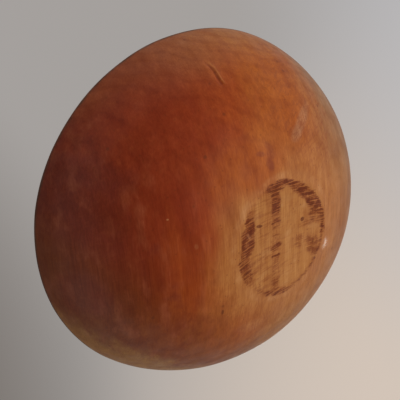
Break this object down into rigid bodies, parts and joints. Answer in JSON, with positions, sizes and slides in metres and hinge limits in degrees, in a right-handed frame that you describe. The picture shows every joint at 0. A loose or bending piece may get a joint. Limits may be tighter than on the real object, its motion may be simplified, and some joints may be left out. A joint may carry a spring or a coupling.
{
  "type": "turned wooden bowl",
  "caption": "Shallow round wooden bowl with a flat foot, a dished inside and a plain rounded rim, gone slightly oval with age.",
  "frame": {"origin": "centre of the flat foot, on the surface that the bowl stands on", "axes": "+Z out of the mouth, +X along the long side of the slightly oval rim, +Y along its short side"},
  "size_m": [0.233, 0.223, 0.07],
  "materials": {
    "wood": "old maple, oiled and handled, warm orange brown with a soft gloss"
  },
  "bodies": {
    "root": {"bowl": "wood"}
  },
  "joints": []
}
